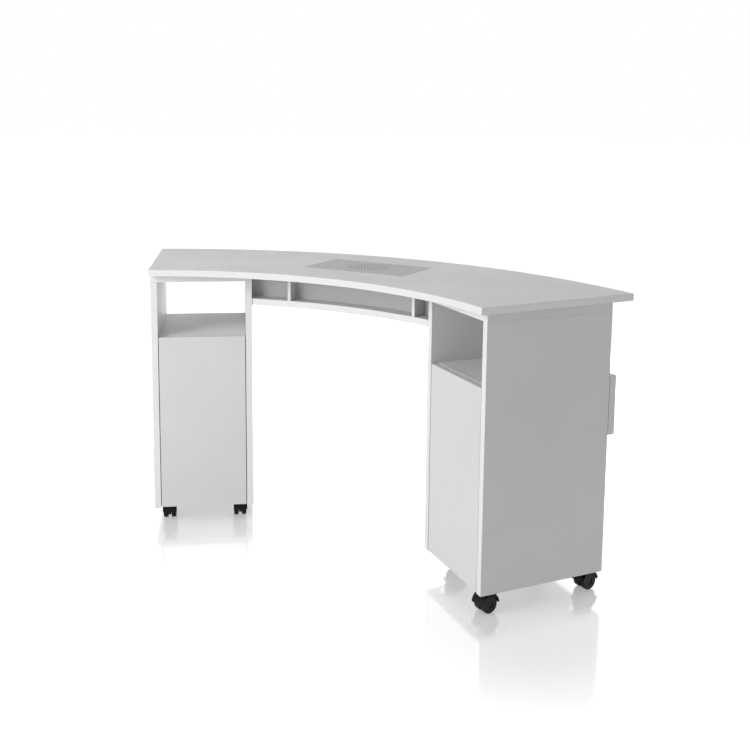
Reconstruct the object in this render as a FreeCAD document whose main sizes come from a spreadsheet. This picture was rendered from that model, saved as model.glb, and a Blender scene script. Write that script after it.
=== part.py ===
import FreeCAD, Part
import math
import os
import Sketcher

# Manicure table: an arc-shaped top with a built-in dust extractor, a shallow
# three-bay tray under the technician's edge, and two open-niche pedestals that
# are turned to follow the arc, each on four twin-wheel casters.
# Frame: +Z up, floor at z = 0, x = 0 on the plane of symmetry, y = 0 halfway
# between the front corners of the top and its rear apex.  The technician sits
# on the concave side (-Y), the client on the convex side (+Y).

os.makedirs("parts", exist_ok=True)
doc = FreeCAD.newDocument("manicure_table")
V3 = FreeCAD.Vector

# ---------------------------------------------------------------- dimensions
SIZES = [
    ("total_height", 760.0),      # floor to worktop
    ("top_thick", 18.0),
    ("front_radius", 900.0),      # concave technician edge
    ("rear_radius", 1341.0),      # convex client edge
    ("half_angle", 34.0),         # radial ends, each side of centre
    ("left_front_angle", 33.0),   # front corner of the left end, trimmed steeper
    ("board", 18.0),              # laminated board
    ("cap_thick", 22.0),          # pedestal cap under the worktop
    ("ped_width", 284.0),
    ("ped_depth", 350.0),
    ("ped_x", 390.8),             # middle of the pedestal's front edge
    ("ped_y", -180.0),
    ("ped_turn", 36.6),           # pedestals turned to follow the arc
    ("caster_height", 58.0),
    ("niche_floor_top", 562.0),
    ("floor_depth", 336.0),       # rear edge of the niche floor
    ("door_gap", 2.0),
    ("door_setback", 0.5),
    ("back_thick", 12.0),
    ("tray_top", 670.0),          # upper face of the tray shelf
    ("tray_front_radius", 990.0),
    ("tray_rear_radius", 1062.0),
    ("tray_back_radius", 1032.0), # front face of the tray's rear wall
    ("tray_back_thick", 10.0),
    ("divider_thick", 9.0),
    ("divider_angle", 9.8),       # left divider, from the centre line
    ("divider_right", 13.1),      # right divider, from the centre line
    ("vent_width", 316.0),
    ("vent_depth", 180.0),
    ("vent_y", 84.0),
    ("vent_plate", 3.0),
    ("vent_lip", 10.0),
    ("grille_hole", 4.6),
    ("grille_pitch", 9.0),        # between the rings of holes
    ("duct_width", 294.0),
    ("duct_depth", 158.0),
    ("duct_bottom", 672.0),
    ("sheet_metal", 1.5),
    ("duct_flange", 14.0),
    ("fan_size", 120.0),
    ("fan_thick", 25.0),
    ("drawer_bottom_z", 411.0),
    ("drawer_front_high", 150.0),
    ("drawer_gap", 1.5),
    ("drawer_long", 250.0),
    ("slide_space", 13.0),
    ("drawer_wall", 12.0),
    ("wheel_radius", 22.0),
    ("wheel_wide", 13.0),
    ("caster_trail", 20.0),
    ("caster_inset", 38.0),
    ("caster_front_inset", 55.0), # front pairs, from the front edge
    ("king_pin", 8.0),
    ("cup_bore", 35.0),
    ("cup_deep", 12.0),
    ("switch_wide", 21.0),        # rocker switch bezel in the tray's rear wall
    ("switch_high", 15.0),
    ("switch_z", 716.0),
    ("switch_turn", 4.56),
    ("shelf_thick", 16.0),
    ("left_shelf_z", 296.0),      # underside of the loose shelves
    ("right_shelf_z", 232.0),
    ("pin_size", 5.0),
]
sheet = doc.addObject("Spreadsheet::Sheet", "dims")
sheet.Label = "dims"
VAL = {}
for row, (alias, number) in enumerate(SIZES, start=1):
    sheet.set("A%d" % row, alias)
    sheet.set("B%d" % row, repr(number))
    sheet.setAlias("B%d" % row, alias)
    VAL[alias] = number
doc.recompute()


class Dim:
    """A size together with the sheet expression that drives it."""

    def __init__(self, value, text):
        self.value = float(value)
        self.text = text

    @staticmethod
    def of(other):
        if isinstance(other, Dim):
            return other
        return Dim(other, "%s" % repr(float(other)))

    def __add__(self, o):
        o = Dim.of(o)
        return Dim(self.value + o.value, "(%s + %s)" % (self.text, o.text))

    def __radd__(self, o):
        return Dim.of(o) + self

    def __sub__(self, o):
        o = Dim.of(o)
        return Dim(self.value - o.value, "(%s - %s)" % (self.text, o.text))

    def __rsub__(self, o):
        return Dim.of(o) - self

    def __mul__(self, o):
        o = Dim.of(o)
        return Dim(self.value * o.value, "(%s * %s)" % (self.text, o.text))

    def __rmul__(self, o):
        return Dim.of(o) * self

    def __truediv__(self, o):
        o = Dim.of(o)
        return Dim(self.value / o.value, "(%s / %s)" % (self.text, o.text))

    def __neg__(self):
        return Dim(-self.value, "(0 - %s)" % self.text)


def D(alias):
    return Dim(VAL[alias], "dims." + alias)


NODES = {}      # label -> document object that is written out


def keep(obj, label):
    obj.Label = label
    NODES[label] = obj
    return obj


# ------------------------------------------------------------ sketch helpers
def origin_plane(body, role):
    for f in body.Origin.OriginFeatures:
        if f.Role == role:
            return f
    raise RuntimeError("no plane " + role)


def new_body(label, placement=None):
    b = doc.addObject("PartDesign::Body", label)
    b.Label = label
    if placement is not None:
        b.Placement = placement
    return b


def new_sketch(body, name, role="XY_Plane", offset=None):
    sk = body.newObject("Sketcher::SketchObject", name)
    sk.AttachmentSupport = [(origin_plane(body, role), "")]
    sk.MapMode = "FlatFace"
    if offset is not None:
        off = Dim.of(offset)
        sk.AttachmentOffset = FreeCAD.Placement(V3(0, 0, off.value), FreeCAD.Rotation())
        if "dims" in off.text:
            sk.setExpression("AttachmentOffset.Base.z", off.text)
    return sk


def constrain(sk, kind, a, b, c, d, size):
    size = Dim.of(size)
    n = sk.addConstraint(Sketcher.Constraint(kind, a, b, c, d, size.value))
    if "dims" in size.text:
        sk.setExpression("Constraints[%d]" % n, size.text)
    return n


def add_rect(sk, left, low, wide, tall):
    left, low, wide, tall = [Dim.of(v) for v in (left, low, wide, tall)]
    x0, y0 = left.value, low.value
    x1, y1 = x0 + wide.value, y0 + tall.value
    p = [V3(x0, y0, 0), V3(x1, y0, 0), V3(x1, y1, 0), V3(x0, y1, 0)]
    g = [sk.addGeometry(Part.LineSegment(p[i], p[(i + 1) % 4]), False) for i in range(4)]
    for i in range(4):
        sk.addConstraint(Sketcher.Constraint("Coincident", g[i], 2, g[(i + 1) % 4], 1))
    sk.addConstraint(Sketcher.Constraint("Horizontal", g[0]))
    sk.addConstraint(Sketcher.Constraint("Vertical", g[1]))
    sk.addConstraint(Sketcher.Constraint("Horizontal", g[2]))
    sk.addConstraint(Sketcher.Constraint("Vertical", g[3]))
    constrain(sk, "DistanceX", -1, 1, g[0], 1, left)
    constrain(sk, "DistanceY", -1, 1, g[0], 1, low)
    constrain(sk, "DistanceX", g[0], 1, g[0], 2, wide)
    constrain(sk, "DistanceY", g[1], 1, g[1], 2, tall)


def add_circle(sk, cx, cy, radius):
    cx, cy, radius = [Dim.of(v) for v in (cx, cy, radius)]
    g = sk.addGeometry(Part.Circle(V3(cx.value, cy.value, 0), V3(0, 0, 1), radius.value), False)
    constrain(sk, "DistanceX", -1, 1, g, 3, cx)
    constrain(sk, "DistanceY", -1, 1, g, 3, cy)
    n = sk.addConstraint(Sketcher.Constraint("Radius", g, radius.value))
    if "dims" in radius.text:
        sk.setExpression("Constraints[%d]" % n, radius.text)
    return g


def add_poly(sk, pts):
    g = []
    for i in range(len(pts)):
        a, b = pts[i], pts[(i + 1) % len(pts)]
        g.append(sk.addGeometry(Part.LineSegment(V3(a[0], a[1], 0), V3(b[0], b[1], 0)), False))
    for i in range(len(g)):
        sk.addConstraint(Sketcher.Constraint("Coincident", g[i], 2, g[(i + 1) % len(g)], 1))
    for i, a in enumerate(pts):
        sk.addConstraint(Sketcher.Constraint("DistanceX", -1, 1, g[i], 1, a[0]))
        sk.addConstraint(Sketcher.Constraint("DistanceY", -1, 1, g[i], 1, a[1]))
    return g


def pad(body, sk, length, name="Pad", both=False, flip=False):
    length = Dim.of(length)
    f = body.newObject("PartDesign::Pad", name)
    f.Profile = sk
    f.Length = length.value
    if "dims" in length.text:
        f.setExpression("Length", length.text)
    if both:
        f.Midplane = True
    if flip:
        f.Reversed = True
    body.Tip = f
    return f


def pocket(body, sk, length, name="Pocket", up=True, through=False, both=False):
    doc.recompute()
    before = body.Shape.Volume
    f = body.newObject("PartDesign::Pocket", name)
    f.Profile = sk
    if through:
        f.Type = "ThroughAll"
    else:
        length = Dim.of(length)
        f.Length = length.value
        if "dims" in length.text:
            f.setExpression("Length", length.text)
    if both:
        f.Midplane = True
    f.Reversed = bool(up)
    body.Tip = f
    doc.recompute()
    if not body.Shape.Volume < before - 0.01:
        raise RuntimeError("pocket cut nothing in " + body.Label)
    return f


def revolve(body, sk, name="Revolution", axis="V_Axis"):
    f = body.newObject("PartDesign::Revolution", name)
    f.Profile = sk
    f.ReferenceAxis = (sk, [axis])
    f.Angle = 360.0
    body.Tip = f
    return f


def board(label, placement, x0, y0, z0, dx, dy, dz):
    """A rectangular board: sketch on XY, pad up."""
    b = new_body(label, placement)
    sk = new_sketch(b, label + "_outline", offset=z0)
    add_rect(sk, x0, y0, dx, dy)
    pad(b, sk, dz, label + "_pad")
    keep(b, label)
    return b


def bind(obj, prop, size):
    size = Dim.of(size)
    setattr(obj, prop, size.value)
    if "dims" in size.text:
        obj.setExpression(prop, size.text)


def box(name, x, y, z, dx, dy, dz):
    o = doc.addObject("Part::Box", name)
    bind(o, "Length", dx)
    bind(o, "Width", dy)
    bind(o, "Height", dz)
    x, y, z = [Dim.of(v) for v in (x, y, z)]
    o.Placement = FreeCAD.Placement(V3(x.value, y.value, z.value), FreeCAD.Rotation())
    return o


def cyl(name, x, y, z, radius, height, axis=None, angle=None, turn=0.0):
    o = doc.addObject("Part::Cylinder", name)
    bind(o, "Radius", radius)
    bind(o, "Height", height)
    if angle is not None:
        bind(o, "Angle", angle)
    x, y, z = [Dim.of(v) for v in (x, y, z)]
    rot = FreeCAD.Rotation(V3(0, 0, 1), turn)
    if axis is not None:
        rot = FreeCAD.Rotation(V3(0, 0, 1), V3(*axis))
    o.Placement = FreeCAD.Placement(V3(x.value, y.value, z.value), rot)
    return o


def cut(name, a, b):
    o = doc.addObject("Part::Cut", name)
    o.Base = a
    o.Tool = b
    return o


def fuse(name, items):
    o = doc.addObject("Part::MultiFuse", name)
    o.Shapes = items
    return o


def common(name, a, b):
    o = doc.addObject("Part::Common", name)
    o.Base = a
    o.Tool = b
    return o


def solid_feature(label, shape, placement=None):
    o = doc.addObject("Part::Feature", label)
    o.Shape = shape
    if placement is not None:
        o.Placement = placement
    keep(o, label)
    return o


# ---------------------------------------------------------- derived geometry
H = VAL["total_height"]
TOP_LOW = D("total_height") - D("top_thick")
HALF = math.radians(VAL["half_angle"])
ARC_Y = -(VAL["rear_radius"] + VAL["front_radius"] * math.cos(HALF)) / 2.0
SWEEP = 2 * D("half_angle")


def sector(name, radius, z, height, angle=None, centre_turn=0.0):
    """A pie slice of a cylinder about the arc centre, symmetric about +Y."""
    angle = SWEEP if angle is None else Dim.of(angle)
    return cyl(name, 0, ARC_Y, z, radius, height, angle=angle,
               turn=90.0 - angle.value / 2.0 + centre_turn)


def pedestal_place(side):
    return FreeCAD.Placement(V3(side * VAL["ped_x"], VAL["ped_y"], 0),
                             FreeCAD.Rotation(V3(0, 0, 1), -side * VAL["ped_turn"]))


PW, PD, BT = D("ped_width"), D("ped_depth"), D("board")
Z0 = D("caster_height")
NFT = D("niche_floor_top")
INNER = PW - 2 * BT

# ------------------------------------------------------------------ worktop
# One arc-shaped board with radial ends; a rebated opening holds the grille.
outer = sector("top_outer", D("rear_radius"), TOP_LOW, D("top_thick"))
inner = cyl("top_inner", 0, ARC_Y, TOP_LOW - 1, D("front_radius"), D("top_thick") + 2)
whole_arc = cut("top_arc", outer, inner)
# The left end is cut along the line between its rear corner and a front corner
# one degree nearer the middle.
lfa = math.radians(VAL["left_front_angle"])
end_f = (-VAL["front_radius"] * math.sin(lfa), ARC_Y + VAL["front_radius"] * math.cos(lfa))
end_r = (-VAL["rear_radius"] * math.sin(HALF), ARC_Y + VAL["rear_radius"] * math.cos(HALF))
end_len = math.hypot(end_r[0] - end_f[0], end_r[1] - end_f[1])
end_u = ((end_r[0] - end_f[0]) / end_len, (end_r[1] - end_f[1]) / end_len)
end_n = (-end_u[1], end_u[0])
end_f = (end_f[0] - 12.0 * end_u[0] - 0.15 * end_n[0], end_f[1] - 12.0 * end_u[1] - 0.15 * end_n[1])
end_r = (end_r[0] + 12.0 * end_u[0] - 0.15 * end_n[0], end_r[1] + 12.0 * end_u[1] - 0.15 * end_n[1])
end_trim = new_body("top_end_trim", FreeCAD.Placement(V3(0, 0, TOP_LOW.value - 1.0), FreeCAD.Rotation()))
ets = new_sketch(end_trim, "top_end_trim_outline")
add_poly(ets, [end_f, end_r, (end_r[0] + 40.0 * end_n[0], end_r[1] + 40.0 * end_n[1]),
               (end_f[0] + 40.0 * end_n[0], end_f[1] + 40.0 * end_n[1])])
pad(end_trim, ets, VAL["top_thick"] + 2.0, "top_end_trim_pad")
arc_board = cut("top_arc_trimmed", whole_arc, end_trim)
vw, vd, vy, vp, vl = D("vent_width"), D("vent_depth"), D("vent_y"), D("vent_plate"), D("vent_lip")
rebate = box("top_rebate", -(vw / 2), vy - vd / 2, D("total_height") - vp, vw, vd, vp + 2)
opening = box("top_opening", -(vw / 2) + vl, vy - vd / 2 + vl, TOP_LOW - 1,
              vw - 2 * vl, vd - 2 * vl, D("top_thick") + 2)
keep(cut("table_top", arc_board, fuse("top_cutouts", [rebate, opening])), "table_top")

# ------------------------------------------------------- extractor in the top
# Perforated plate, flush with the worktop; lifts out with the filter.
clear = 0.5
grille = new_body("vent_grille", FreeCAD.Placement(V3(0, VAL["vent_y"], H - VAL["vent_plate"]), FreeCAD.Rotation()))
gs = new_sketch(grille, "vent_grille_outline")
add_rect(gs, -(vw / 2) + clear, -(vd / 2) + clear, vw - 2 * clear, vd - 2 * clear)
pitch = VAL["grille_pitch"]
hole_r = VAL["grille_hole"] / 2.0
# a round field of holes over the fan: one in the middle and six rings
gs.addGeometry(Part.Circle(V3(0, 0, 0), V3(0, 0, 1), hole_r), False)
for ring in range(1, 7):
    for k in range(6 * ring):
        t = 2 * math.pi * k / (6 * ring)
        gs.addGeometry(Part.Circle(V3(ring * pitch * math.cos(t), ring * pitch * math.sin(t), 0),
                                   V3(0, 0, 1), hole_r), False)
pad(grille, gs, D("vent_plate"), "vent_grille_pad")
keep(grille, "vent_grille")

# Pleated filter cassette that hangs under the grille inside the opening.
fw = VAL["duct_width"] - 8.0
fd = VAL["duct_depth"] - 8.0
f_top = H - VAL["vent_plate"]
f_low = f_top - 34.0
frame = Part.makeBox(fw, fd, 34.0, V3(-fw / 2, VAL["vent_y"] - fd / 2, f_low)).cut(
    Part.makeBox(fw - 10, fd - 10, 40.0, V3(-fw / 2 + 5, VAL["vent_y"] - fd / 2 + 5, f_low - 3)))
n_pleat = 28
inner_w = fw - 9.0
step = inner_w / n_pleat
upper, lower = [], []
for i in range(n_pleat + 1):
    x = -inner_w / 2 + i * step
    zc = f_low + (6.0 if i % 2 == 0 else 27.0)
    upper.append(V3(x, VAL["vent_y"] - fd / 2 + 4, zc + 1.6))
    lower.append(V3(x, VAL["vent_y"] - fd / 2 + 4, zc - 1.6))
wire = Part.makePolygon(upper + lower[::-1] + [upper[0]])
media = Part.Face(wire).extrude(V3(0, fd - 8, 0))
solid_feature("filter_cassette", frame.fuse(media).removeSplitter())

# Folded steel duct under the opening, flanged to the underside of the board.
dw, dd, sm = D("duct_width"), D("duct_depth"), D("sheet_metal")
d_low = D("duct_bottom")
shell = box("duct_shell", -(dw / 2), vy - dd / 2, d_low, dw, dd, TOP_LOW - d_low)
hollow = box("duct_hollow", -(dw / 2) + sm, vy - dd / 2 + sm, d_low + sm, dw - 2 * sm, dd - 2 * sm, TOP_LOW - d_low)
fl = D("duct_flange")
flange_hi = box("duct_flange_plate", -(dw / 2) - fl, vy - dd / 2 - 0.0, TOP_LOW - sm, dw + 2 * fl, dd + fl, sm)
flange_hole = box("duct_flange_hole", -(dw / 2) + sm, vy - dd / 2 + sm, TOP_LOW - sm - 1, dw - 2 * sm, dd - 2 * sm, sm + 2)
fan_hole = cyl("duct_fan_hole", 0, vy, d_low - 1, 56.0, 5.0)
duct = cut("extractor_duct", fuse("duct_body", [shell, flange_hi]),
           fuse("duct_cuts", [hollow, flange_hole, fan_hole,
                              box("duct_inlet_hole", -105.2, vy + dd / 2 - 4, 691.8, 20.4, 8, 12.4)]))
keep(duct, "extractor_duct")

# Two-pin appliance inlet in the duct's rear wall, for a detachable lead.
in_y = VAL["vent_y"] + VAL["duct_depth"] / 2
inlet = Part.makeBox(20.0, 16.0, 12.0, V3(-105.0, in_y - 14.2, 692.0))
inlet = inlet.fuse(Part.makeBox(28.0, 1.8, 17.0, V3(-109.0, in_y, 689.5)))
well = Part.makeCylinder(3.6, 9.0, V3(-99.3, in_y - 7.2, 698.0), V3(0, 1, 0))
well = well.fuse(Part.makeCylinder(3.6, 9.0, V3(-90.7, in_y - 7.2, 698.0), V3(0, 1, 0)))
well = well.fuse(Part.makeBox(8.6, 9.0, 6.4, V3(-99.3, in_y - 7.2, 694.8)))
inlet = inlet.cut(well)
for px in (-99.3, -90.7):
    inlet = inlet.fuse(Part.makeCylinder(1.15, 8.0, V3(px, in_y - 8.0, 698.0), V3(0, 1, 0)))
solid_feature("power_inlet", inlet.removeSplitter())

# Axial fan: square frame with four struts and a bearing hub, bolted below.
fan_z = VAL["duct_bottom"] - VAL["fan_thick"]
fan = new_body("fan_frame", FreeCAD.Placement(V3(0, VAL["vent_y"], fan_z), FreeCAD.Rotation()))
fs = new_sketch(fan, "fan_frame_outline")
add_rect(fs, -(D("fan_size") / 2), -(D("fan_size") / 2), D("fan_size"), D("fan_size"))
add_circle(fs, 0, 0, 57.0)
pad(fan, fs, D("fan_thick"), "fan_frame_pad")
fs2 = new_sketch(fan, "fan_hub")
add_circle(fs2, 0, 0, 20.0)
pad(fan, fs2, 4.0, "fan_hub_pad")
fs3 = new_sketch(fan, "fan_struts")
add_rect(fs3, -58.5, -3.0, 117.0, 6.0)
pad(fan, fs3, 3.5, "fan_strut_pad")
fs4 = new_sketch(fan, "fan_struts_cross")
add_rect(fs4, -3.0, -58.5, 6.0, 117.0)
pad(fan, fs4, 3.5, "fan_strut_cross_pad")
fs5 = new_sketch(fan, "fan_shaft_bore")
add_circle(fs5, 0, 0, 3.05)
pocket(fan, fs5, 10.0, "fan_shaft_pocket", up=True)
keep(fan, "fan_frame")

# Impeller: motor can, seven swept blades and the shaft in the hub.
hub = Part.makeCylinder(19.0, 17.0, V3(0, 0, 5.0))
shaft = Part.makeCylinder(3.0, 6.0, V3(0, 0, 0.5))
blades = []
for k in range(7):
    b0 = Part.makeBox(39.0, 3.0, 21.0, V3(16.5, -1.5, -10.5))
    b0.rotate(V3(0, 0, 0), V3(1, 0, 0), 52.0)
    b0.translate(V3(0, 0, 14.0))
    b0.rotate(V3(0, 0, 0), V3(0, 0, 1), k * 360.0 / 7.0)
    blades.append(b0)
limit = Part.makeCylinder(55.0, 16.0, V3(0, 0, 6.0))
blade_set = blades[0]
for b0 in blades[1:]:
    blade_set = blade_set.fuse(b0)
blade_set = blade_set.common(limit)
rotor = hub.fuse(shaft).fuse(blade_set).removeSplitter()
solid_feature("fan_rotor", rotor, FreeCAD.Placement(V3(0, VAL["vent_y"], fan_z), FreeCAD.Rotation()))

# ----------------------------------------------------------- tray under the top
# A narrow arc shelf between the pedestals, a rear wall and two dividers.
def between_pedestals(name, z, height):
    """Prism that fills the space between the two inner side panels."""
    pl = pedestal_place(1)
    a = pl.multVec(V3(-VAL["ped_width"] / 2, -60, 0))
    b = pl.multVec(V3(-VAL["ped_width"] / 2, VAL["ped_depth"] - 2.0, 0))
    z = Dim.of(z)
    height = Dim.of(height)
    pts = [V3(a.x, a.y, z.value), V3(b.x, b.y, z.value), V3(-b.x, b.y, z.value), V3(-a.x, a.y, z.value)]
    f = doc.addObject("Part::Feature", name)
    f.Shape = Part.Face(Part.makePolygon(pts + [pts[0]])).extrude(V3(0, 0, height.value))
    return f


TT = D("tray_top")
tray_arc = cut("tray_arc",
               sector("tray_outer", D("tray_rear_radius"), TT - BT, BT, angle=48.0),
               cyl("tray_inner", 0, ARC_Y, TT - BT - 1, D("tray_front_radius"), BT + 2))
keep(common("tray_shelf", tray_arc, between_pedestals("tray_span", TT - BT - 1, BT + 2)), "tray_shelf")

BR, TBT = D("tray_back_radius"), D("tray_back_thick")
wall_high = TOP_LOW - TT - 3.0
wall_arc = cut("wall_arc",
               sector("wall_outer", BR + TBT, TT, wall_high, angle=48.0),
               cyl("wall_inner", 0, ARC_Y, TT - 1, BR, wall_high + 2))
wall_span = common("wall_span", wall_arc, between_pedestals("wall_limits", TT - 1, wall_high + 2))
# frame of the extractor's switch: origin on the wall's face, +Y into the wall
switch_turn = math.radians(VAL["switch_turn"])
switch_place = FreeCAD.Placement(V3(VAL["tray_back_radius"] * math.sin(switch_turn),
                                    ARC_Y + VAL["tray_back_radius"] * math.cos(switch_turn), VAL["switch_z"]),
                                 FreeCAD.Rotation(V3(0, 0, 1), -VAL["switch_turn"]))
switch_hole = new_body("wall_switch_hole", switch_place)
ws = new_sketch(switch_hole, "wall_switch_hole_outline", offset=-6.6)
add_rect(ws, -9.7, -3.0, 19.4, 20.0)
pad(switch_hole, ws, 13.2, "wall_switch_hole_pad")
keep(cut("tray_back_panel", wall_span, switch_hole), "tray_back_panel")

for side, label, alias in ((-1, "tray_divider_left", "divider_angle"), (1, "tray_divider_right", "divider_right")):
    # sketch plane XY; the divider runs radially from the shelf edge to the wall
    turn = FreeCAD.Rotation(V3(0, 0, 1), -side * VAL[alias])
    d = board(label, FreeCAD.Placement(V3(0, ARC_Y, 0), turn),
              -(D("divider_thick") / 2), D("tray_front_radius") + 1.0, TT,
              D("divider_thick"), BR - D("tray_front_radius") - 1.5, TOP_LOW - TT)

# ---------------------------------------------------------------- pedestals
for side, tag in ((-1, "left"), (1, "right")):
    pl = pedestal_place(side)
    ox = PW / 2 - BT if side > 0 else -(PW / 2)          # outer side panel
    ix = -(PW / 2) if side > 0 else PW / 2 - BT          # inner side panel
    panel_high = TOP_LOW - D("cap_thick") - Z0
    # side panels, each with two blind bores for the shelf pins
    for part_name, sx, inward in (("_outer_side", ox, -side), ("_inner_side", ix, side)):
        blank = board(tag + part_name + "_board", pl, sx, 0, Z0, BT, PD, panel_high)
        del NODES[tag + part_name + "_board"]
        face = side * (1 if part_name == "_outer_side" else -1) * INNER.value / 2
        bores = []
        for n, by in enumerate((90.0, 290.0)):
            at = pl.multVec(V3(face - inward * 9.0, by, VAL[tag + "_shelf_z"] - VAL["pin_size"] / 2))
            way = pl.Rotation.multVec(V3(inward, 0, 0))
            bores.append(cyl("%s%s_bore_%d" % (tag, part_name, n), at.x, at.y, at.z,
                             D("pin_size") / 2 + 0.05, 12.0, axis=(way.x, way.y, way.z)))
        keep(cut(tag + part_name, blank, fuse(tag + part_name + "_bores", bores)), tag + part_name)
    board(tag + "_cap_panel", pl, -(PW / 2), 0, TOP_LOW - D("cap_thick"), PW, PD, D("cap_thick"))
    fy = BT + D("door_setback") + 1.5
    board(tag + "_niche_floor", pl, -(PW / 2) + BT, fy, NFT - BT, INNER, D("floor_depth") - fy, BT)
    board(tag + "_bottom_panel", pl, -(PW / 2) + BT, fy, Z0, INNER, PD - fy, BT)
    back_top = NFT - BT if side < 0 else D("drawer_bottom_z") - 1.0
    board(tag + "_back_panel", pl, -(PW / 2) + BT, D("floor_depth") - D("back_thick") - 2.0, Z0 + BT,
          INNER, D("back_thick"), back_top - Z0 - BT)
    board(tag + "_shelf", pl, -(PW / 2) + BT + 1, 64.0, D(tag + "_shelf_z"), INNER - 2,
          D("floor_depth") - D("back_thick") - 68.0, D("shelf_thick"))
    # door: inset between the side panels, it covers the floor and bottom edges
    gap = D("door_gap")
    door = new_body(tag + "_door", pl)
    ds = new_sketch(door, tag + "_door_outline", offset=Z0 + 2.0)
    add_rect(ds, -(PW / 2) + BT + gap, D("door_setback"), INNER - 2 * gap, BT)
    pad(door, ds, NFT - Z0 - 3.0, tag + "_door_pad")
    # cup bores in the rear face, near the outer edge
    cup_x = side * (VAL["ped_width"] / 2 - VAL["board"] - VAL["door_gap"] - 22.5)
    for n, cz in enumerate((Z0.value + 90.0, NFT.value - 90.0)):
        cs = new_sketch(door, "%s_door_cup_%d" % (tag, n), role="XZ_Plane")
        # the XZ plane's sketch normal points to -Y, so the offset is negative
        cs.AttachmentOffset = FreeCAD.Placement(V3(0, 0, -(VAL["door_setback"] + VAL["board"])), FreeCAD.Rotation())
        add_circle(cs, cup_x, cz, D("cup_bore") / 2)
        pocket(door, cs, D("cup_deep"), "%s_door_cup_pocket_%d" % (tag, n), up=True)
    keep(door, tag + "_door")
    # hinge cups: a pressed cup in each bore with its flange on the door
    cups = []
    for cz in (Z0.value + 90.0, NFT.value - 90.0):
        y_back = VAL["door_setback"] + VAL["board"]
        cup = Part.makeCylinder(VAL["cup_bore"] / 2, VAL["cup_deep"], V3(cup_x, y_back - VAL["cup_deep"], cz), V3(0, 1, 0))
        cup = cup.cut(Part.makeBox(22.0, 11.0, 22.0, V3(cup_x - 11.0, y_back - VAL["cup_deep"] + 1.5, cz - 11.0)))
        wing = Part.makeBox(14.0, 1.2, 52.0, V3(cup_x - 7.0 - side * 4.0, y_back, cz - 26.0)).fuse(
            Part.makeCylinder(19.5, 1.2, V3(cup_x, y_back, cz), V3(0, 1, 0)))
        wing = wing.cut(Part.makeBox(22.0, 4.0, 22.0, V3(cup_x - 11.0, y_back - 1.0, cz - 11.0)))
        cups.append(cup.fuse(wing).removeSplitter())
    solid_feature(tag + "_hinge_cups", Part.makeCompound(cups), pl)

# Hinge arms and mounting plates on the outer side panels, two per door.
arms = []
for side in (-1, 1):
    pl = pedestal_place(side)
    face_x = side * (VAL["ped_width"] / 2 - VAL["board"])
    for cz in (VAL["caster_height"] + 90.0, VAL["niche_floor_top"] - 90.0):
        def bx(x_in, x_out, y0, y1, z0, z1):
            xa, xb = sorted((face_x - side * x_in, face_x - side * x_out))
            return Part.makeBox(xb - xa, y1 - y0, z1 - z0, V3(xa, y0, z0))
        plate = bx(0.0, 3.0, 34.0, 52.0, cz - 26.0, cz + 26.0)
        plate = plate.fuse(bx(0.0, 10.0, 37.0, 49.0, cz - 8.0, cz + 8.0))
        arm = bx(10.0, 14.0, 23.0, 78.0, cz - 8.5, cz + 8.5)
        arm = arm.fuse(bx(10.0, 30.0, 23.0, 27.0, cz - 8.5, cz + 8.5))
        piece = plate.fuse(arm).removeSplitter()
        piece = piece.cut(Part.makeCylinder(2.6, 12.0, V3(face_x - side * 20.0, 43.0, cz), V3(side, 0, 0)))
        piece.Placement = pl.multiply(piece.Placement)
        arms.append(piece)
solid_feature("hinge_arms", Part.makeCompound(arms))

# Shelf pins, four under each loose shelf.
shelf_pins = []
for side, tag in ((-1, "left"), (1, "right")):
    pl = pedestal_place(side)
    for s0 in (-1, 1):
        face = s0 * INNER.value / 2
        for by in (90.0, 290.0):
            pin_z = VAL[tag + "_shelf_z"] - VAL["pin_size"] / 2
            pin = Part.makeCylinder(VAL["pin_size"] / 2, 15.5, V3(face + s0 * 8.5, by, pin_z), V3(-s0, 0, 0))
            pin = pin.fuse(Part.makeCylinder(VAL["pin_size"] / 2 + 1.5, 1.0, V3(face, by, pin_z), V3(-s0, 0, 0)).cut(
                Part.makeBox(4.0, 12.0, 6.0, V3(face - 2.0, by - 6.0, pin_z + VAL["pin_size"] / 2))))
            pin = pin.removeSplitter()
            pin.Placement = pl
            shelf_pins.append(pin)
solid_feature("shelf_pins", Part.makeCompound(shelf_pins))

# Push latches under the niche floors: body with a bore, spring-loaded plunger.
latches = []
for side, tag in ((-1, "left"), (1, "right")):
    pl = pedestal_place(side)
    lx = -side * 84.0
    z_hi = VAL["niche_floor_top"] - VAL["board"]
    housing = Part.makeBox(16.0, 62.0, 14.0, V3(lx - 8.0, 26.0, z_hi - 14.0))
    housing = housing.cut(Part.makeCylinder(3.6, 50.0, V3(lx, 25.0, z_hi - 7.0), V3(0, 1, 0)))
    housing = housing.makeFillet(1.0, [e for e in housing.Edges
                                       if abs(e.Vertexes[0].Point.x - e.Vertexes[-1].Point.x) < 1e-6
                                       and abs(e.Vertexes[0].Point.z - e.Vertexes[-1].Point.z) < 1e-6
                                       and abs(e.Vertexes[0].Point.z - (z_hi - 14.0)) < 1e-6
                                       and len(e.Vertexes) == 2])
    housing.Placement = pl
    latches.append(housing)
    plunger = new_body(tag + "_latch_plunger", pl)
    ps = new_sketch(plunger, tag + "_plunger_section", role="XZ_Plane")
    # sketch z of this plane is -Y: pad away from the door into the housing
    ps.AttachmentOffset = FreeCAD.Placement(V3(0, 0, -19.2), FreeCAD.Rotation())
    add_circle(ps, lx, z_hi - 7.0, 3.5)
    pad(plunger, ps, 46.0, tag + "_plunger_pad", flip=True)
    keep(plunger, tag + "_latch_plunger")
solid_feature("push_latches", Part.makeCompound(latches))

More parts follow.
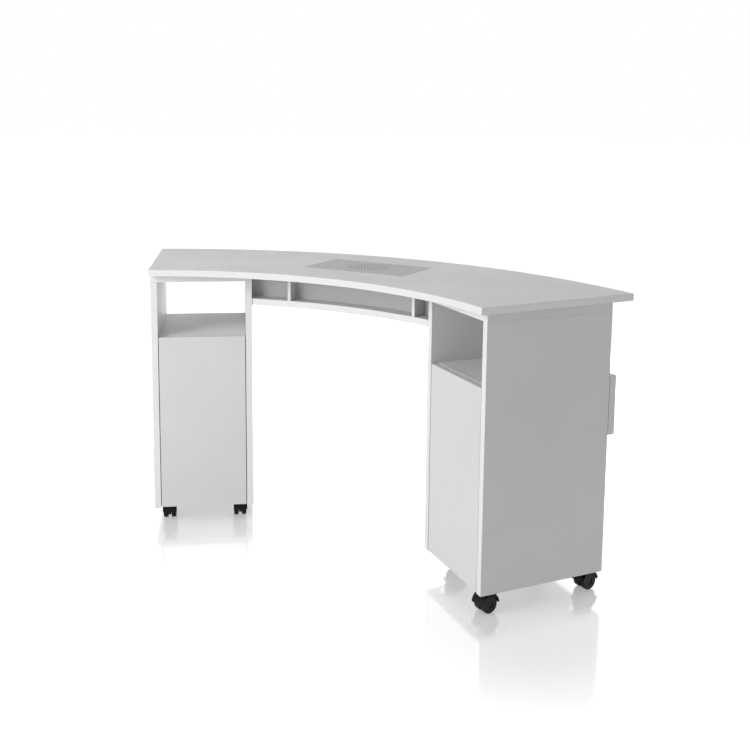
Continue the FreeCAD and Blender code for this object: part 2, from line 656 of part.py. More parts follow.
# ------------------------------------------------- rear drawer, right pedestal
pr = pedestal_place(1)
dz0 = D("drawer_bottom_z")
dgap = D("drawer_gap")
board("drawer_front", pr, -(PW / 2), PD + dgap, dz0, PW, BT, D("drawer_front_high"))
box_w = INNER - 2 * D("slide_space")
box_y0 = PD + dgap - D("drawer_long")
box_z0 = dz0 + 13.0
box_h = 110.0
tray = new_body("drawer_box", pr)
ts = new_sketch(tray, "drawer_box_outline", offset=box_z0)
add_rect(ts, -(box_w / 2), box_y0, box_w, D("drawer_long"))
pad(tray, ts, box_h, "drawer_box_pad")
ts2 = new_sketch(tray, "drawer_box_inside", offset=box_z0 + 8.0)
dwl = D("drawer_wall")
add_rect(ts2, -(box_w / 2) + dwl, box_y0 + dwl, box_w - 2 * dwl, D("drawer_long") - 2 * dwl)
pocket(tray, ts2, 130.0, "drawer_box_pocket", up=True)
keep(tray, "drawer_box")
fixed, moving = [], []
sz = box_z0.value + 30.0
for s in (-1, 1):
    wall = s * INNER.value / 2
    def sb(x_in, x_out, y0, y1, z0, z1):
        xa, xb = sorted((wall - s * x_in, wall - s * x_out))
        return Part.makeBox(xb - xa, y1 - y0, z1 - z0, V3(xa, y0, z0))
    y0 = box_y0.value + 2.0
    y1 = VAL["ped_depth"] - 2.0
    rail = sb(0, 9.5, y0, y1, sz, sz + 40).cut(sb(1.5, 20, y0 - 1, y1 + 1, sz + 4.0, sz + 36.0))
    rail = rail.cut(sb(1.5, 8.0, y0 - 1, y1 + 1, sz + 1.5, sz + 38.5))
    fixed.append(rail)
    inner_rail = sb(3.0, 7.0, y0, y1, sz + 6.0, sz + 34.0).fuse(sb(6.9, 13.0, y0, y1, sz + 9.0, sz + 31.0))
    inner_rail = inner_rail.cut(sb(2.0, 5.4, y0 - 1, y1 + 1, sz + 12.0, sz + 28.0))
    moving.append(inner_rail.removeSplitter())
solid_feature("drawer_rails_fixed", Part.makeCompound(fixed), pr)
solid_feature("drawer_rails_moving", Part.makeCompound(moving), pr)

# --------------------------------------------------------------------- casters
# Four twin-wheel casters under each pedestal.  Each has its own heading.
CR, CW, CT = VAL["wheel_radius"], VAL["wheel_wide"], VAL["caster_trail"]
ZB = VAL["caster_height"]
ins, fin = VAL["caster_inset"], VAL["caster_front_inset"]
hw, hd = VAL["ped_width"] / 2 - ins, VAL["ped_depth"] - ins
# name, side, local x, local y, heading of the trailing wheel in the pedestal frame
CASTERS = [
    ("left_front_outer", -1, -hw, fin, 90.0),
    ("left_front_inner", -1, hw, fin, 93.0),
    ("left_rear_outer", -1, -hw, hd, 155.0),
    ("left_rear_inner", -1, hw, hd, 60.0),
    ("right_front_inner", 1, -hw, fin, 88.0),
    ("right_front_outer", 1, hw, fin, 282.0),
    ("right_rear_inner", 1, -hw, hd, 120.0),
    ("right_rear_outer", 1, hw, hd, 102.0),
]
plates = []
for name, side, lx, ly, head in CASTERS:
    pl = pedestal_place(side)
    place = pl.multiply(FreeCAD.Placement(V3(lx, ly, 0), FreeCAD.Rotation(V3(0, 0, 1), head)))
    # mounting plate with king pin, the corners rounded
    plate = Part.makeBox(42.0, 42.0, 2.5, V3(-21.0, -21.0, ZB - 2.5))
    plate = plate.makeFillet(5.0, [e for e in plate.Edges if abs(e.Vertexes[0].Point.x - e.Vertexes[1].Point.x) < 1e-6
                                   and abs(e.Vertexes[0].Point.y - e.Vertexes[1].Point.y) < 1e-6])
    plate = plate.fuse(Part.makeCylinder(VAL["king_pin"] / 2, 16.0, V3(0, 0, ZB - 18.0)))
    plate = plate.fuse(Part.makeCylinder(11.0, 1.5, V3(0, 0, ZB - 4.0))).removeSplitter()
    for px, py in ((-16, -16), (16, -16), (16, 16), (-16, 16)):
        plate = plate.cut(Part.makeCylinder(2.2, 6.0, V3(px, py, ZB - 4.0)))
    plate.Placement = pl.multiply(FreeCAD.Placement(V3(lx, ly, 0), FreeCAD.Rotation()))
    plates.append(plate)
    # hood: swivel neck, centre web and the fender over both wheels
    braked = name.endswith("rear_outer")
    neck = Part.makeCylinder(12.0, 16.0, V3(0, 0, ZB - 4.3 - 16.0))
    fender = Part.makeCylinder(27.0, 40.0, V3(CT, -20.0, CR), V3(0, 1, 0))
    fender = fender.cut(Part.makeCylinder(23.2, 50.0, V3(CT, -25.0, CR), V3(0, 1, 0)))
    keep_zone = Part.makeBox(80.0, 60.0, 40.0, V3(CT - 40.0, -30.0, CR + 2.0))
    fender = fender.common(keep_zone)
    web = Part.makeCylinder(24.5, 8.0, V3(CT, -4.0, CR), V3(0, 1, 0))
    web = web.common(Part.makeBox(80.0, 60.0, 60.0, V3(CT - 40.0, -30.0, CR - 7.0)))
    hood = neck.fuse(fender).fuse(web)
    hood = hood.cut(Part.makeCylinder(VAL["king_pin"] / 2 + 0.05, 15.0, V3(0, 0, ZB - 4.3 - 14.3)))
    # wheel space on both sides of the web, the neck included
    for s in (-1, 1):
        hood = hood.cut(Part.makeCylinder(23.2, 17.5, V3(CT, 4.0 if s > 0 else -21.5, CR), V3(0, 1, 0)))
    hood = hood.cut(Part.makeCylinder(3.05, 12.0, V3(CT, -6.0, CR), V3(0, 1, 0)))
    if braked:
        # slot in the fender for the foot lever, crossed by the lever's pin
        hood = hood.cut(Part.makeBox(17.0, 15.0, 14.0, V3(CT + 12.5, -7.5, CR + 14.5)))
        hood = hood.fuse(Part.makeCylinder(1.5, 19.0, V3(CT + 17.5, -9.5, CR + 19.0), V3(0, 1, 0)))
    hood = hood.removeSplitter()
    solid_feature("caster_hood_" + name, hood, place)
    # wheel pair: two hard treads joined by the axle
    wheels = new_body("caster_wheels_" + name, place.multiply(
        FreeCAD.Placement(V3(CT, 0, CR), FreeCAD.Rotation(V3(1, 0, 0), -90.0))))
    # profile in the XZ plane of the body, turned about the body's Z axis
    wsk = new_sketch(wheels, "wheel_profile_" + name, role="XZ_Plane")
    w0, w1 = 5.0, 5.0 + CW
    prof = [(0.0, -w1 + 2.0), (9.0, -w1 + 2.0), (9.0, -w1 + 0.6), (CR - 5.0, -w1 + 0.6), (CR - 4.0, -w1), (CR - 1.6, -w1), (CR, -w1 + 1.6),
            (CR, -w0 - 1.0), (CR - 1.0, -w0), (4.6, -w0), (3.0, -w0), (3.0, w0), (4.6, w0), (CR - 1.0, w0), (CR, w0 + 1.0),
            (CR, w1 - 1.6), (CR - 1.6, w1), (CR - 4.0, w1), (CR - 5.0, w1 - 0.6), (9.0, w1 - 0.6), (9.0, w1 - 2.0), (0.0, w1 - 2.0)]
    add_poly(wsk, prof)
    revolve(wheels, wsk, "wheel_turn_" + name)
    keep(wheels, "caster_wheels_" + name)
    if braked:
        # foot lever: pad above the fender with a hinge eye and a tail on the tread
        lever = Part.makeBox(20.0, 13.0, 3.0, V3(CT + 15.0, -6.5, CR + 20.5))
        lever = lever.fuse(Part.makeCylinder(3.2, 13.0, V3(CT + 17.5, -6.5, CR + 19.0), V3(0, 1, 0)))
        lever = lever.fuse(Part.makeBox(9.0, 19.0, 3.0, V3(CT + 27.5, -9.5, CR + 20.5)))
        lever = lever.cut(Part.makeCylinder(1.55, 14.0, V3(CT + 17.5, -7.0, CR + 19.0), V3(0, 1, 0)))
        lever.rotate(V3(CT + 17.5, 0, CR + 19.0), V3(0, 1, 0), -14.0)
        lever = lever.removeSplitter()
        solid_feature("brake_lever_" + name.split("_")[0], lever, place)
solid_feature("caster_plates", Part.makeCompound(plates))

# --------------------------------------------------------------------- screws
# Eight screws hold the caps to the worktop from inside the niches.
screws = []
for side in (-1, 1):
    pl = pedestal_place(side)
    for lx in (-95.0, 95.0):
        for ly in (45.0, 300.0):
            zc = VAL["total_height"] - VAL["top_thick"] - VAL["cap_thick"]
            s = Part.makeCylinder(2.5, 34.0, V3(lx, ly, zc))
            s = s.fuse(Part.makeCylinder(5.5, 3.0, V3(lx, ly, zc - 3.0)))
            s = s.cut(Part.makeBox(6.0, 1.4, 1.6, V3(lx - 3.0, ly - 0.7, zc - 3.0)))
            s = s.cut(Part.makeBox(1.4, 6.0, 1.6, V3(lx - 0.7, ly - 3.0, zc - 3.0)))
            s.Placement = pl
            screws.append(s)
solid_feature("fixing_screws", Part.makeCompound(screws))

# ----------------------------------------------------------- extractor switch
# Snap-in rocker switch in the tray's rear wall: bezel and body in one
# moulding, and a rocker on a round pin.  It stands in the off position.
pivot_y = 1.0
sw, sh = VAL["switch_wide"], VAL["switch_high"]
rim = Part.makeBox(sw, 1.7, sh, V3(-sw / 2, -1.8, -sh / 2))
rim = rim.makeFillet(1.2, [e for e in rim.Edges if abs(e.Vertexes[0].Point.y - e.Vertexes[-1].Point.y) > 1.0])
rim = rim.makeChamfer(0.5, [e for e in rim.Edges if all(abs(v.Point.y + 1.8) < 1e-6 for v in e.Vertexes)])
case = rim.fuse(Part.makeBox(19.0, 13.7, 12.8, V3(-9.5, -0.3, -6.4)))
case = case.cut(Part.makeBox(14.0, 12.0, 9.8, V3(-7.0, -3.0, -4.9)))
case = case.cut(Part.makeCylinder(1.05, 13.0, V3(0, pivot_y, -6.5), V3(0, 0, 1)))
solid_feature("switch_housing", case.removeSplitter(), switch_place)
rocker = Part.makeCylinder(6.7, 9.0, V3(0, pivot_y, -4.5), V3(0, 0, 1))
face_cut = Part.makePolygon([V3(0, -0.9, -5), V3(7.5, -0.9 - 7.5 * math.tan(math.radians(10.0)), -5), V3(7.5, -9, -5),
                             V3(-7.5, -9, -5), V3(-7.5, -0.9 - 7.5 * math.tan(math.radians(10.0)), -5), V3(0, -0.9, -5)])
rocker = rocker.cut(Part.Face(face_cut).extrude(V3(0, 0, 10)))
rocker = rocker.fuse(Part.makeCylinder(1.0, 12.4, V3(0, pivot_y, -6.2), V3(0, 0, 1)))
rocker.rotate(V3(0, pivot_y, 0), V3(0, 0, 1), -10.0)
solid_feature("switch_rocker", rocker.removeSplitter(), switch_place)

# --------------------------------------------------------------------- output
doc.recompute()
bad = [o.Name for o in doc.Objects if "Invalid" in o.State or "Error" in o.State]
if bad:
    raise RuntimeError("failed objects: %s" % bad)
if len(NODES) > 60:
    raise RuntimeError("too many nodes: %d" % len(NODES))
for label, obj in NODES.items():
    shp = obj.Shape
    if shp.isNull() or not shp.isValid() or not shp.Solids:
        raise RuntimeError("bad shape: " + label)
for label, obj in NODES.items():
    obj.Shape.exportStep(os.path.join("parts", label + ".step"))
print("nodes", len(NODES))
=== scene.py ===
import bpy, math
from mathutils import Matrix, Vector

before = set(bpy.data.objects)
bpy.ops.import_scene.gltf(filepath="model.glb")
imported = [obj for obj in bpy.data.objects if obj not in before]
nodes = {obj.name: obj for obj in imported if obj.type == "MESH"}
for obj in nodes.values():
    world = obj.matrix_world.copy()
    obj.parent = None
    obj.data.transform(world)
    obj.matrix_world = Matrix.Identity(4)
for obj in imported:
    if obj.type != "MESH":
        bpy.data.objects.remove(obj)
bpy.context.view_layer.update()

# ------------------------------------------------------------------ camera
# Same frame as the part: metres, +Z up, the worktop's arc centred on x = 0.
yaw, pitch, roll = -0.5345609604, 0.1337923205, -0.0050503461
fwd = Vector((math.sin(yaw) * math.cos(pitch), math.cos(yaw) * math.cos(pitch), -math.sin(pitch)))
flat_right = Vector((math.cos(yaw), -math.sin(yaw), 0.0))
flat_down = fwd.cross(flat_right)
right = math.cos(roll) * flat_right + math.sin(roll) * flat_down
down = -math.sin(roll) * flat_right + math.cos(roll) * flat_down
cam_data = bpy.data.cameras.new("studio_camera")
cam_data.sensor_width = 36.0
cam_data.lens = 46.216
cam_data.shift_x = 0.04605
cam_data.shift_y = -0.17
cam_data.clip_start, cam_data.clip_end = 0.05, 200.0
camera = bpy.data.objects.new("studio_camera", cam_data)
bpy.context.scene.collection.objects.link(camera)
up = -down
back = -fwd
camera.matrix_world = Matrix(((right.x, up.x, back.x, 1.31069), (right.y, up.y, back.y, -2.28401),
                              (right.z, up.z, back.z, 1.18023), (0, 0, 0, 1)))
bpy.context.scene.camera = camera
bpy.context.scene.view_settings.view_transform = "Standard"
bpy.context.scene.view_settings.look = "None"

# ------------------------------------------------------- material building
ARC_Y = -1.04357           # centre of the worktop's arcs
ARC_FRONT, ARC_REAR = 0.900, 1.341
HALF = math.radians(34.0)


class Finish:
    """A procedural material on one Principled shader, in the part's own metres."""

    def __init__(self, name):
        self.mat = bpy.data.materials.new(name)
        self.mat.use_nodes = True
        self.tree = self.mat.node_tree
        self.tree.nodes.clear()
        self.out = self.add("ShaderNodeOutputMaterial")
        self.bsdf = self.add("ShaderNodeBsdfPrincipled")
        self.link(self.bsdf.outputs[0], self.out.inputs[0])
        tc = self.add("ShaderNodeTexCoord")
        self.co, self.normal = tc.outputs["Object"], tc.outputs["Normal"]
        self.bumped = None

    def add(self, kind, **props):
        n = self.tree.nodes.new(kind)
        for k, v in props.items():
            setattr(n, k, v)
        return n

    def link(self, a, b):
        self.tree.links.new(a, b)

    def put(self, socket, value):
        if isinstance(value, bpy.types.NodeSocket):
            self.link(value, socket)
        else:
            socket.default_value = value

    def math(self, op, a, b=0.0, clamp=False):
        n = self.add("ShaderNodeMath", operation=op, use_clamp=clamp)
        self.put(n.inputs[0], a)
        if len(n.inputs) > 1:
            self.put(n.inputs[1], b)
        return n.outputs[0]

    def xyz(self, vec=None):
        n = self.add("ShaderNodeSeparateXYZ")
        self.link(vec or self.co, n.inputs[0])
        return n.outputs

    def turned(self, angle, scale=(1, 1, 1)):
        n = self.add("ShaderNodeMapping")
        n.inputs["Rotation"].default_value = (0, 0, angle)
        n.inputs["Scale"].default_value = scale
        self.link(self.co, n.inputs[0])
        return n.outputs[0]

    def noise(self, scale, detail=2.0, rough=0.5, distort=0.0, vec=None):
        n = self.add("ShaderNodeTexNoise")
        n.inputs["Scale"].default_value = scale
        n.inputs["Detail"].default_value = detail
        n.inputs["Roughness"].default_value = rough
        n.inputs["Distortion"].default_value = distort
        self.link(vec or self.co, n.inputs["Vector"])
        return n.outputs[0]

    def cells(self, scale, feature="F1", vec=None, out="Distance"):
        n = self.add("ShaderNodeTexVoronoi", feature=feature)
        n.inputs["Scale"].default_value = scale
        self.link(vec or self.co, n.inputs["Vector"])
        return n.outputs[out]

    def span(self, x, a, b, c, d):
        n = self.add("ShaderNodeMapRange")
        self.put(n.inputs[0], x)
        for i, v in enumerate((a, b, c, d)):
            n.inputs[i + 1].default_value = v
        return n.outputs[0]

    def mix(self, fac, a, b, blend="MIX"):
        n = self.add("ShaderNodeMix", data_type="RGBA", blend_type=blend)
        self.put(n.inputs[0], fac)
        for s, v in ((n.inputs[6], a), (n.inputs[7], b)):
            self.put(s, (*v, 1.0) if isinstance(v, tuple) and len(v) == 3 else v)
        return n.outputs[2]

    def bump(self, height, depth, strength=1.0):
        n = self.add("ShaderNodeBump")
        n.inputs["Strength"].default_value = strength
        n.inputs["Distance"].default_value = depth
        self.link(height, n.inputs["Height"])
        if self.bumped is not None:
            self.link(self.bumped, n.inputs["Normal"])
        self.bumped = n.outputs[0]
        return self.bumped

    def edges(self, radius):
        """1 along the piece's outer corners, 0 on its faces."""
        bev = self.add("ShaderNodeBevel", samples=4)
        bev.inputs["Radius"].default_value = radius
        geo = self.add("ShaderNodeNewGeometry")
        dot = self.add("ShaderNodeVectorMath", operation="DOT_PRODUCT")
        self.link(bev.outputs[0], dot.inputs[0])
        self.link(geo.outputs["Normal"], dot.inputs[1])
        return self.span(dot.outputs["Value"], 0.998, 0.90, 0.0, 1.0)

    def done(self, color, rough, metallic=0.0, ior=1.5, specular=0.5, coat=0.0, coat_rough=0.1, sheen=0.0):
        b = self.bsdf
        self.put(b.inputs["Base Color"], (*color, 1.0) if isinstance(color, tuple) and len(color) == 3 else color)
        self.put(b.inputs["Roughness"], rough)
        b.inputs["Metallic"].default_value = metallic
        b.inputs["IOR"].default_value = ior
        b.inputs["Specular IOR Level"].default_value = specular
        b.inputs["Coat Weight"].default_value = coat
        b.inputs["Coat Roughness"].default_value = coat_rough
        b.inputs["Sheen Weight"].default_value = sheen
        if self.bumped is not None:
            self.link(self.bumped, b.inputs["Normal"])
        return self.mat


def grey(v, warm=0.0):
    return (v * (1 + warm), v, v * (1 - warm))


def melamine(name, tone, edge_highlight_tone=None, edge_highlight_mask=None, rough=0.42):
    """White melamine foil on chipboard: pearled press texture, faint cloudiness, rub marks, slightly rubbed corners;
    the optional lighter edge tone is a painted highlight on the masked front edges.
    """
    f = Finish(name)
    cloud = f.noise(2.6, 3.0, 0.55)
    speck = f.noise(620.0, 2.0, 0.6)
    tone_c = f.mix(f.span(cloud, 0.3, 0.7, 0.0, 1.0), grey(tone * 0.962, 0.0015), grey(tone * 1.03, -0.0015))
    tone_c = f.mix(f.span(speck, 0.40, 0.72, 0.0, 0.55), tone_c, grey(tone * 0.89))
    # painted highlight: the masked front edges get a lighter tone than the faces
    if edge_highlight_mask is not None:
        tone_c = f.mix(edge_highlight_mask(f), tone_c, grey(edge_highlight_tone))
    rub = f.noise(9.0, 5.0, 0.62, 0.6)
    corner = f.edges(0.0016)
    worn = f.math("MULTIPLY", corner, f.span(rub, 0.35, 0.65, 0.15, 0.9), clamp=True)
    tone_c = f.mix(f.math("MULTIPLY", worn, 0.35), tone_c, grey(tone * 0.80, 0.008))
    pearl = f.noise(950.0, 2.0, 0.5)
    broad = f.noise(55.0, 3.0, 0.5)
    f.bump(broad, 0.00030, 0.45)
    f.bump(pearl, 0.00014, 0.75)
    smear = f.span(rub, 0.45, 0.75, rough - 0.04, rough + 0.10)
    return f.done(tone_c, smear, specular=0.42)


def band_sides_painted_light(f):
    """Upright faces of the worktop, where its edge band runs; the lighter tone they are given is a painted highlight.
    """
    z = f.math("ABSOLUTE", f.xyz(f.normal)[2])
    return f.span(z, 0.55, 0.35, 0.0, 1.0)


def tray_front(f):
    """Front edge band of the tray shelf and the dividers, inside the shelf's front radius; the lighter tone it is given
    is a painted highlight.
    """
    x, y, z = f.xyz()
    yy = f.math("SUBTRACT", y, ARC_Y)
    r = f.math("SQRT", f.math("ADD", f.math("MULTIPLY", x, x), f.math("MULTIPLY", yy, yy)))
    return f.span(r, 0.9918, 0.9912, 0.0, 1.0)


def panel_fronts(f):
    """Front edge band of the pedestals' side panels, just ahead of the inset doors; the lighter tone it is given is a
    painted highlight.
    """
    x, y, z = f.xyz()
    ax = f.math("SUBTRACT", f.math("ABSOLUTE", x), 0.3908)
    turn = math.radians(36.6)
    depth = f.math("ADD", f.math("MULTIPLY", ax, math.sin(turn)),
                   f.math("MULTIPLY", f.math("SUBTRACT", y, -0.18), math.cos(turn)))
    return f.span(depth, 0.00042, 0.00025, 0.0, 1.0)


def worktop():
    """The worktop: melamine faces, 1 mm edge band with its fine glue line; the band and all upright faces are painted
    lighter than the top, a painted highlight.
    """
    f = Finish("worktop_melamine")
    x, y, z = f.xyz()
    yy = f.math("SUBTRACT", y, ARC_Y)
    r = f.math("SQRT", f.math("ADD", f.math("MULTIPLY", x, x), f.math("MULTIPLY", yy, yy)))
    d_front = f.math("SUBTRACT", r, ARC_FRONT)
    d_rear = f.math("SUBTRACT", ARC_REAR, r)
    ax = f.math("ABSOLUTE", x)
    d_end = f.math("SUBTRACT", f.math("MULTIPLY", yy, math.sin(HALF)), f.math("MULTIPLY", ax, math.cos(HALF)))
    inside = f.math("MINIMUM", f.math("MINIMUM", d_front, d_rear), d_end)
    upright = band_sides_painted_light(f)
    line = f.math("SUBTRACT", 1.0, f.math("DIVIDE", f.math("ABSOLUTE", f.math("SUBTRACT", inside, 0.0011)), 0.00022), clamp=True)
    band_painted_light = f.math("MAXIMUM", upright, f.span(inside, 0.00115, 0.00095, 0.0, 1.0))
    cloud = f.noise(2.1, 3.0, 0.55)
    speck = f.noise(620.0, 2.0, 0.6)
    tone = 0.635
    c = f.mix(f.span(cloud, 0.3, 0.7, 0.0, 1.0), grey(tone * 0.965, 0.0015), grey(tone * 1.025, -0.0015))
    c = f.mix(f.span(speck, 0.40, 0.72, 0.0, 0.5), c, grey(tone * 0.90))
    # painted highlight: the band and every upright face get a lighter grey than the top surface
    c = f.mix(band_painted_light, c, grey(0.74))
    glue = f.math("MULTIPLY", line, f.math("SUBTRACT", 1.0, upright))
    c = f.mix(f.math("MULTIPLY", glue, 0.45), c, grey(0.40, 0.02))
    rub = f.noise(7.0, 5.0, 0.62, 0.6)
    worn = f.math("MULTIPLY", f.edges(0.0014), f.span(rub, 0.35, 0.65, 0.1, 0.8), clamp=True)
    c = f.mix(f.math("MULTIPLY", worn, 0.25), c, grey(0.55, 0.01))
    f.bump(f.noise(48.0, 3.0, 0.5), 0.00028, 0.4)
    f.bump(f.noise(950.0, 2.0, 0.5), 0.00014, 0.7)
    return f.done(c, f.span(rub, 0.4, 0.75, 0.36, 0.50), specular=0.45)


def moulded(name, tone, rough, grain=900.0, grain_depth=0.00005, scuff=0.0, tint=0.0, specular=0.5):
    """Injection-moulded plastic: fine spark-eroded grain, soft flow marks, rubbed corners and light scuffs."""
    f = Finish(name)
    flow = f.noise(26.0, 3.0, 0.5, 1.2, vec=f.turned(0.6, (1.0, 3.2, 0.6)))
    base = f.mix(f.span(flow, 0.3, 0.7, 0.0, 1.0), grey(tone * 0.88, tint), grey(tone * 1.14, tint))
    scratch = f.noise(210.0, 4.0, 0.65, 0.4, vec=f.turned(1.1, (1.0, 9.0, 2.0)))
    marks = f.span(scratch, 0.60, 0.74, 0.0, 1.0)
    base = f.mix(f.math("MULTIPLY", marks, scuff), base, grey(min(0.8, tone * 1.8 + 0.02), tint))
    corner = f.edges(0.0007)
    base = f.mix(f.math("MULTIPLY", corner, 0.3), base, grey(min(0.85, tone * 1.5 + 0.006), tint))
    f.bump(f.noise(grain, 2.0, 0.6), grain_depth, 0.6)
    f.bump(f.noise(70.0, 2.0, 0.5), 0.00008, 0.25)
    r = f.math("ADD", f.span(f.noise(34.0, 4.0, 0.6), 0.3, 0.7, rough - 0.05, rough + 0.07), f.math("MULTIPLY", marks, 0.12))
    return f.done(base, r, specular=specular)


def tread():
    """Wheel tread: matt rubbery plastic with dust pressed into it."""
    f = Finish("wheel_tread")
    dust = f.noise(140.0, 5.0, 0.7, 0.5)
    fine = f.noise(1300.0, 2.0, 0.6)
    c = f.mix(f.span(dust, 0.48, 0.72, 0.0, 0.5), grey(0.0045), grey(0.020, 0.03))
    c = f.mix(f.span(fine, 0.6, 0.8, 0.0, 0.25), c, grey(0.028, 0.03))
    f.bump(dust, 0.00015, 0.4)
    f.bump(fine, 0.00004, 0.6)
    return f.done(c, f.span(dust, 0.4, 0.75, 0.36, 0.58), specular=0.16)


def plate_coat():
    """Vent plate: fine-textured grey powder coat over steel, chipped a little at the holes' rims."""
    f = Finish("vent_powder_coat")
    tex = f.noise(1500.0, 3.0, 0.6)
    lump = f.noise(420.0, 2.0, 0.5)
    cloud = f.noise(14.0, 3.0, 0.5)
    c = f.mix(f.span(cloud, 0.3, 0.7, 0.0, 1.0), grey(0.42), grey(0.46))
    c = f.mix(f.span(tex, 0.4, 0.8, 0.0, 0.5), c, grey(0.36))
    c = f.mix(f.math("MULTIPLY", f.edges(0.0006), 0.35), c, grey(0.36))
    f.bump(lump, 0.00010, 0.5)
    f.bump(tex, 0.00005, 0.6)
    return f.done(c, f.span(lump, 0.3, 0.7, 0.42, 0.56), specular=0.45)


def fleece():
    """Filter fleece: matted fibres."""
    f = Finish("filter_fleece")
    long_a = f.noise(700.0, 4.0, 0.7, 1.5, vec=f.turned(0.3, (1.0, 6.0, 1.0)))
    long_b = f.noise(700.0, 4.0, 0.7, 1.5, vec=f.turned(-0.9, (6.0, 1.0, 1.0)))
    fibre = f.math("MAXIMUM", long_a, long_b)
    dust = f.noise(45.0, 4.0, 0.6)
    c = f.mix(f.span(fibre, 0.45, 0.75, 0.0, 1.0), grey(0.42, 0.02), grey(0.80, 0.01))
    c = f.mix(f.span(dust, 0.5, 0.8, 0.0, 0.35), c, grey(0.34, 0.05))
    f.bump(fibre, 0.0006, 0.8)
    return f.done(c, f.span(fibre, 0.4, 0.8, 0.97, 0.85), specular=0.15, sheen=0.3)


def zinc():
    """Galvanised sheet: spangle cells, rolling marks."""
    f = Finish("galvanised_sheet")
    cell = f.cells(130.0, out="Color")
    tone = f.xyz(cell)[0]
    roll_marks = f.noise(300.0, 3.0, 0.6, vec=f.turned(0.0, (1.0, 14.0, 14.0)))
    c = f.mix(tone, grey(0.50, -0.01), grey(0.66, -0.01))
    c = f.mix(f.span(roll_marks, 0.5, 0.8, 0.0, 0.4), c, grey(0.42, -0.01))
    f.bump(roll_marks, 0.00004, 0.5)
    f.bump(f.cells(130.0, feature="DISTANCE_TO_EDGE"), 0.00008, 0.3)
    return f.done(c, f.span(tone, 0.0, 1.0, 0.30, 0.46), metallic=1.0)


def nickel():
    """Nickel-plated pressed steel: drawn grain and small dings."""
    f = Finish("nickel_plate")
    drawn = f.noise(520.0, 4.0, 0.6, vec=f.turned(0.64, (1.0, 16.0, 3.0)))
    cloud = f.noise(60.0, 3.0, 0.5)
    c = f.mix(f.span(cloud, 0.3, 0.7, 0.0, 1.0), grey(0.56, 0.015), grey(0.70, 0.01))
    c = f.mix(f.math("MULTIPLY", f.edges(0.0005), 0.4), c, grey(0.82, 0.01))
    f.bump(drawn, 0.00003, 0.6)
    f.bump(f.noise(240.0, 2.0, 0.5), 0.00006, 0.3)
    return f.done(c, f.span(drawn, 0.3, 0.75, 0.20, 0.38), metallic=1.0)


FINISHES = {
    "top_white": worktop(),
    # painted highlight: 0.76 is the lighter tone given to the masked front edges of the side panels and the tray
    "board_white": melamine("board_melamine", 0.66, 0.76, panel_fronts),
    # painted shade: the tray's tone 0.56 is darker than the boards' 0.66 to stand for the shade under the worktop
    "tray_white": melamine("tray_melamine_painted_shade", 0.56, 0.76, tray_front, rough=0.46),
    "drawer_white": melamine("drawer_box_foil", 0.63, rough=0.50),
    "grille_grey": plate_coat(),
    "filter_media": fleece(),
    "zinc_steel": zinc(),
    "nickel_steel": nickel(),
    "fan_plastic": moulded("fan_plastic_finish", 0.016, 0.48, 1100.0),
    "caster_black": moulded("caster_nylon", 0.0045, 0.30, 900.0, 0.00005, scuff=0.22, specular=0.16),
    "wheel_black": tread(),
    "switch_white": moulded("switch_plastic", 0.62, 0.34, 1400.0, 0.00003, tint=0.006),
    "inlet_black": moulded("inlet_plastic", 0.014, 0.44, 1000.0),
    "latch_grey": moulded("latch_plastic", 0.24, 0.42, 1000.0),
}

# ---------------------------------------------------- edges of the CAD pieces
smooth = bpy.data.node_groups.new("shade_smooth", "GeometryNodeTree")
smooth.interface.new_socket("Geometry", in_out="INPUT", socket_type="NodeSocketGeometry")
smooth.interface.new_socket("Geometry", in_out="OUTPUT", socket_type="NodeSocketGeometry")
gi, go = smooth.nodes.new("NodeGroupInput"), smooth.nodes.new("NodeGroupOutput")
ss = smooth.nodes.new("GeometryNodeSetShadeSmooth")
smooth.links.new(gi.outputs[0], ss.inputs[0])
smooth.links.new(ss.outputs[0], go.inputs[0])

BEVEL = {"board_white": (0.0008, 3), "top_white": (0.0010, 3), "tray_white": (0.0006, 2), "drawer_white": (0.0008, 2)}
for name, obj in sorted(nodes.items()):
    for s in obj.material_slots:
        key = s.material.name.split(".")[0]
        s.material = FINISHES[key]
    slot_name = key
    if slot_name in BEVEL:
        width, segs = BEVEL[slot_name]
        weld = obj.modifiers.new("weld", "WELD")
        weld.merge_threshold = 0.00002
        bev = obj.modifiers.new("eased_edges", "BEVEL")
        bev.width, bev.segments = width, segs
        bev.limit_method, bev.angle_limit = "ANGLE", math.radians(35)
        bev.use_clamp_overlap = True
        bev.miter_outer = "MITER_ARC"
        gn = obj.modifiers.new("smooth", "NODES")
        gn.node_group = smooth
        wn = obj.modifiers.new("face_normals", "WEIGHTED_NORMAL")
        wn.mode, wn.weight, wn.keep_sharp = "FACE_AREA", 80, False

